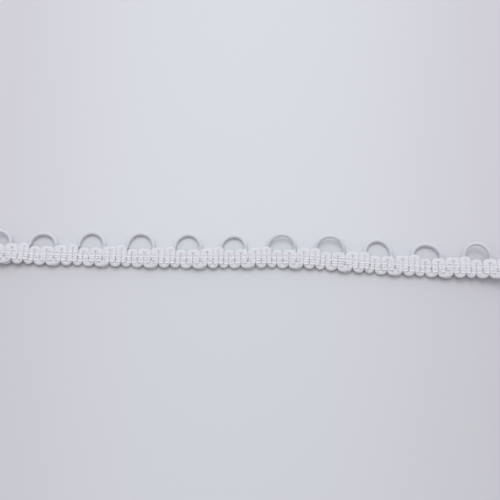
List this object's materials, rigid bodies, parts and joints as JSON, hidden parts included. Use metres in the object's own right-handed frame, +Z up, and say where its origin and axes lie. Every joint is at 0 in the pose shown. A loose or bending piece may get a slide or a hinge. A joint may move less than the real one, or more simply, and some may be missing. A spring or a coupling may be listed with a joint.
{
  "type": "elastic button loop tape",
  "caption": "Cut length of white scalloped braid lying flat, with a covered elastic cord standing out along one edge in small round button loops.",
  "frame": {"origin": "on the surface that the tape lies on, under the middle of its box", "axes": "+X along the tape, +Y from the scalloped edge to the button loops, +Z up from the surface"},
  "size_m": [0.1962, 0.0153, 0.0063],
  "materials": {
    "gimp_yarn": "soft matt",
    "elastic_cord": "matt with a faint sheen",
    "chain_upper": "faint sheen",
    "chain_lower": "faint sheen"
  },
  "bodies": {
    "root": {"gimp_yarn": "gimp_yarn", "elastic_cord": "elastic_cord", "chain_upper": "chain_upper", "chain_lower": "chain_lower"}
  },
  "joints": []
}
